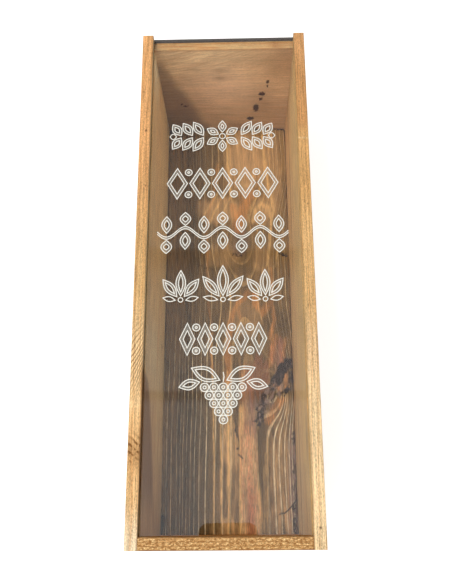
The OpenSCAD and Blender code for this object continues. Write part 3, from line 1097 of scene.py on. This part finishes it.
def garland(y, half):
    """Band of leaves that lean outward from a flower of six petals."""
    lines = disc((0, y), 2.0)
    for k in range(6):
        a = math.radians(60 * k)
        lines += leaf((3.2 * math.sin(a), y + 3.2 * math.cos(a)), 8.8, 5.2, -60 * k)
    outward = []
    for k in range(3):
        x = 13.0 + 7.6 * k
        outward += leaf((x, y + 0.9), 12.5 - k, 6.2, -34)
        outward += leaf((x, y - 0.9), 12.5 - k, 6.2, -146)
    outward += leaf((31.5, y), half - 31.5, 4.2, -90)
    return lines + mirrored(outward)


def lozenge_band(y, half, height):
    """Chain of lozenges, with beads above and below where two of them meet."""
    count = 5
    width = 2 * half / count
    lines = []
    for k in range(count):
        lines += lozenge((-half + width * (k + 0.5), y), width - 1.6, height)
    for k in range(1, count):
        for side in (-1, 1):
            lines += berry((-half + width * k, y + side * height * 0.36), 2.3)
    return lines


def vine(y, half, height):
    """Wavy double stem with a leaf on the outside of each bend, and a longer one inside it."""
    steps = 72
    bends = 3.5
    swing = height * 0.14
    stem = []
    for side in (1, -1):
        wave = [
            (half * i / steps, y + side * 0.8 + swing * math.cos(math.pi * bends * i / steps))
            for i in range(steps + 1)
        ]
        stem.append((wave, False, side < 0))
    right = list(stem)
    for k in range(1, 4):
        up = 1 if k % 2 == 0 else -1
        x = half * k / bends
        right += leaf((x, y + up * (swing + 1.6)), height * 0.36, 7.0, 0 if up > 0 else 180)
        right += leaf((x, y + up * (swing - 3.4)), height * 0.46, 6.6, 0 if up < 0 else 180)
    top = leaf((0, y + swing + 1.6), height * 0.36, 7.0, 0)
    top += leaf((0, y + swing - 3.4), height * 0.46, 6.6, 180)
    return mirrored(right) + top


def palmette(at, height):
    """Upright leaf between two that lean out from its foot, over a bead."""
    lines = leaf((at[0], at[1] + 2.6), height - 2.6, height * 0.31, 0)
    for side in (-1, 1):
        lines += leaf((at[0] + side * 2.4, at[1] + 2.2), height * 0.74, 6.0, -side * 38)
        lines += leaf((at[0] + side * 3.4, at[1] - 0.2), height * 0.40, 3.2, -side * 78)
    return lines + disc(at, 1.5, 16)


def grapes(y, height):
    """Hanging bunch of grapes under two pairs of leaves."""
    lines = []
    radius = 2.6
    top = y + height * 0.16
    for row, count in enumerate((5, 4, 3, 2, 1)):
        for k in range(count):
            lines += berry(((k - (count - 1) / 2) * radius * 2.2, top - row * radius * 1.9), radius)
    leaves = leaf((2.2, top + 4.4), 19.0, 8.8, -66)
    leaves += leaf((14.5, top + 3.4), 13.0, 6.4, -104)
    stem = [([(0, top + 3.4), (0.5, top + 6.5), (0, top + 9.5)], False, False)]
    return lines + mirrored(leaves) + stem


def ornament_lines():
    """All the ornament's lines, from the head of the lid towards its foot."""
    lines = garland(94.5, 36)
    lines += lozenge_band(58.5, 38, 23)
    lines += vine(22.5, 43, 26)
    for x, height in ((0, 23), (-27, 20), (27, 20)):
        lines += palmette((x, -24), height)
    lines += lozenge_band(-50, 28, 21)
    lines += grapes(-84.5, 24)
    return lines


def ribbon(points, closed, vertices, faces):
    """Adds a flat raised line of even width along the points to lists of vertices and faces."""
    n = len(points)
    first = len(vertices)
    for i, (x, y) in enumerate(points):
        before = points[i - 1] if closed or i else points[0]
        after = points[(i + 1) % n] if closed or i < n - 1 else points[-1]
        a = Vector((x - before[0], y - before[1]))
        b = Vector((after[0] - x, after[1] - y))
        a = a.normalized() if a.length > 1e-6 else b.normalized()
        b = b.normalized() if b.length > 1e-6 else a
        along = (a + b).normalized()
        reach = LINE_W / 2 / max(along.dot(a), 0.5)
        side = (-along.y * reach, along.x * reach)
        for z in (0, INK_T):
            vertices.append((x - side[0], y - side[1], z))
            vertices.append((x + side[0], y + side[1], z))
    for i in range(n if closed else n - 1):
        a = first + 4 * i
        b = first + 4 * ((i + 1) % n)
        faces += [
            (a + 2, b + 2, b + 3, a + 3),
            (a, a + 1, b + 1, b),
            (a, b, b + 2, a + 2),
            (a + 1, a + 3, b + 3, b + 1),
        ]
    if not closed:
        last = first + 4 * (n - 1)
        faces += [(first, first + 2, first + 3, first + 1), (last, last + 1, last + 3, last + 2)]


def frosting(outer, inner, closed, vertices, faces):
    """Adds the flat band between two lines that have as many points each."""
    n = len(outer)
    first = len(vertices)
    for (x0, y0), (x1, y1) in zip(outer, inner):
        vertices.append((x0, y0, INK_T / 2))
        vertices.append((x1, y1, INK_T / 2))
    for i in range(n if closed else n - 1):
        a = first + 2 * i
        b = first + 2 * ((i + 1) % n)
        faces.append((a, b, b + 1, a + 1))


def make_ornament():
    """Engraving on the lid's top face: white lines, and frosting between each two of them."""
    vertices = []
    faces = []
    lines = ornament_lines()
    for points, closed, _ in lines:
        ribbon(points, closed, vertices, faces)
    opaque = len(faces)
    for (outer, closed, _), (inner, _, inside) in zip(lines, lines[1:]):
        if inside:
            frosting(outer, inner, closed, vertices, faces)
    placed = [((x + ORNAMENT_X) * MM, y * MM, (z + LID_TOP) * MM) for x, y, z in vertices]
    materials = [make_engraving("engraved_white", 1.0), make_engraving("engraved_frost", FROST_COVER)]
    ornament = add_mesh("lid_ornament", placed, faces, materials, opaque)
    ornament.data.update()
    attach(ornament, "lid")


# ---------------------------------------------------------------- materials on the CAD nodes

MATERIALS = {
    "left_side": make_left_side(),
    "right_side": make_right_side(),
    "head_board": make_head_board(),
    "foot_board": make_foot_board(),
    "plank_back": make_plank_back(),
    "sliding_lid": make_acrylic(),
    "brads": make_steel(),
}
for node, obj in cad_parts.items():
    material = MATERIALS["brads"] if "brads" in node else MATERIALS.get(node)
    if material:
        obj.data.materials.clear()
        obj.data.materials.append(material)

make_plank()
make_ornament()

# ---------------------------------------------------------------- camera, light and floor

# The camera stands almost over the foot of the box and looks down its length
CAMERA_AT = Vector((10.9, -162.3, 513.4)) * MM
CAMERA_AIM = Vector((4.04, -41.6, 117.5)) * MM
CAMERA_ROLL = math.radians(-3.81)
CAMERA_LENS = 41.12
CAMERA_SHIFT = (-0.0085, 0.0543)


SENSOR_WIDTH = 36
CLIP_START = 0.01

WORLD_LIGHT = 0.45
WORLD_TINT = (1.0, 0.99, 0.97, 1)
# What gloss and the lid mirror or let through: a white studio overhead, dimmer towards the head end.
# The fade runs between two values of the direction's Y.
MIRRORED_OVERHEAD = 1.0
MIRRORED_LOW = 0.42
FADE_START = 0.05
FADE_END = 0.58
# Two dark seams in it, as stations of (direction along Y, share that is left)
MIRRORED_SEAMS = [
    (0.176, 1.0), (0.184, 0.55), (0.192, 0.5), (0.195, 1.0),
    (0.350, 1.0), (0.383, 0.45), (0.393, 0.4), (0.398, 1.0),
]

# The floor lies 0.3 mm under the box. Its glow is there for seen and mirrored rays only.
FLOOR_REACH = 6.0
FLOOR_Z = -0.0003
FLOOR_GREY = (0.75, 0.75, 0.75, 1)
FLOOR_GLOW = 0.72

# Square lamps: name, place, what it aims at, size, power in watts
LAMPS = [
    ("key", (-0.42, -0.15, 1.6), (0, -0.02, 0.08), 0.22, 8.3),
    ("fill", (-0.6, -0.9, 1.05), (0, 0, 0.08), 1.0, 7.6),
]


def aim(thing, at, target, roll=0.0):
    """Puts a camera or a lamp at a place, and turns it towards another."""
    turn = (target - at).to_track_quat("-Z", "Y").to_matrix().to_4x4()
    thing.matrix_world = Matrix.Translation(at) @ turn @ Matrix.Rotation(roll, 4, "Z")


def make_camera():
    data = bpy.data.cameras.new("camera")
    data.lens = CAMERA_LENS
    data.sensor_width = SENSOR_WIDTH
    data.shift_x, data.shift_y = CAMERA_SHIFT
    data.clip_start = CLIP_START
    camera = add_object("camera", data)
    aim(camera, CAMERA_AT, CAMERA_AIM, CAMERA_ROLL)
    bpy.context.scene.camera = camera


def make_world():
    """Soft even light on the object. The camera sees white, and mirrored rays see the dimmer studio."""
    g = Graph("studio", world=True)
    along = g.parts(g.node("ShaderNodeTexCoord").outputs["Generated"])[1]
    ends = dict(From_Min=FADE_START, From_Max=FADE_END, To_Min=MIRRORED_OVERHEAD, To_Max=MIRRORED_LOW)
    fade = g.node("ShaderNodeMapRange", Value=along, **ends)
    seams = g.node("ShaderNodeValToRGB", Fac=along)
    stops = seams.color_ramp.elements
    while len(stops) < len(MIRRORED_SEAMS):
        stops.new(0.5)
    for stop, (at, level) in zip(stops, MIRRORED_SEAMS):
        stop.position = at
        stop.color = (level, level, level, 1)
    studio = Val(g, fade.outputs["Result"]) * seams.outputs["Color"]
    light = g.node("ShaderNodeBackground", Color=WORLD_TINT, Strength=WORLD_LIGHT)
    shown = g.node("ShaderNodeBackground", Color=WHITE, Strength=studio.most(g.ray("Is Camera Ray")))
    bpy.context.scene.world = g.finish(g.blend(g.seen(), light.outputs[0], shown.outputs[0]))


def make_floor():
    """Wide pale floor: white where nothing shades it, with a soft shadow near the box."""
    g = Graph("floor")
    diffuse = g.node("ShaderNodeBsdfDiffuse", Color=FLOOR_GREY).outputs[0]
    glow = g.node("ShaderNodeEmission", Strength=FLOOR_GLOW).outputs[0]
    both = g.node("ShaderNodeAddShader")
    g.feed(diffuse, both.inputs[0])
    g.feed(glow, both.inputs[1])
    material = g.finish(g.blend(g.seen(), diffuse, both.outputs[0]))
    corners = [(-1, -1), (1, -1), (1, 1), (-1, 1)]
    points = [(x * FLOOR_REACH, y * FLOOR_REACH, FLOOR_Z) for x, y in corners]
    floor = add_mesh("floor", points, [(0, 1, 2, 3)], [material], 1)


def make_lamp(name, at, target, size, power):
    """Soft lamp that gloss and the lid don't show."""
    data = bpy.data.lights.new(name, "AREA")
    data.shape = "SQUARE"
    data.size = size
    data.energy = power
    lamp = add_object(name, data)
    aim(lamp, Vector(at), Vector(target))
    lamp.visible_glossy = False
    lamp.visible_transmission = False


make_camera()
make_world()
make_floor()
for lamp_values in LAMPS:
    make_lamp(*lamp_values)

scene = bpy.context.scene
scene.view_settings.view_transform = "Standard"
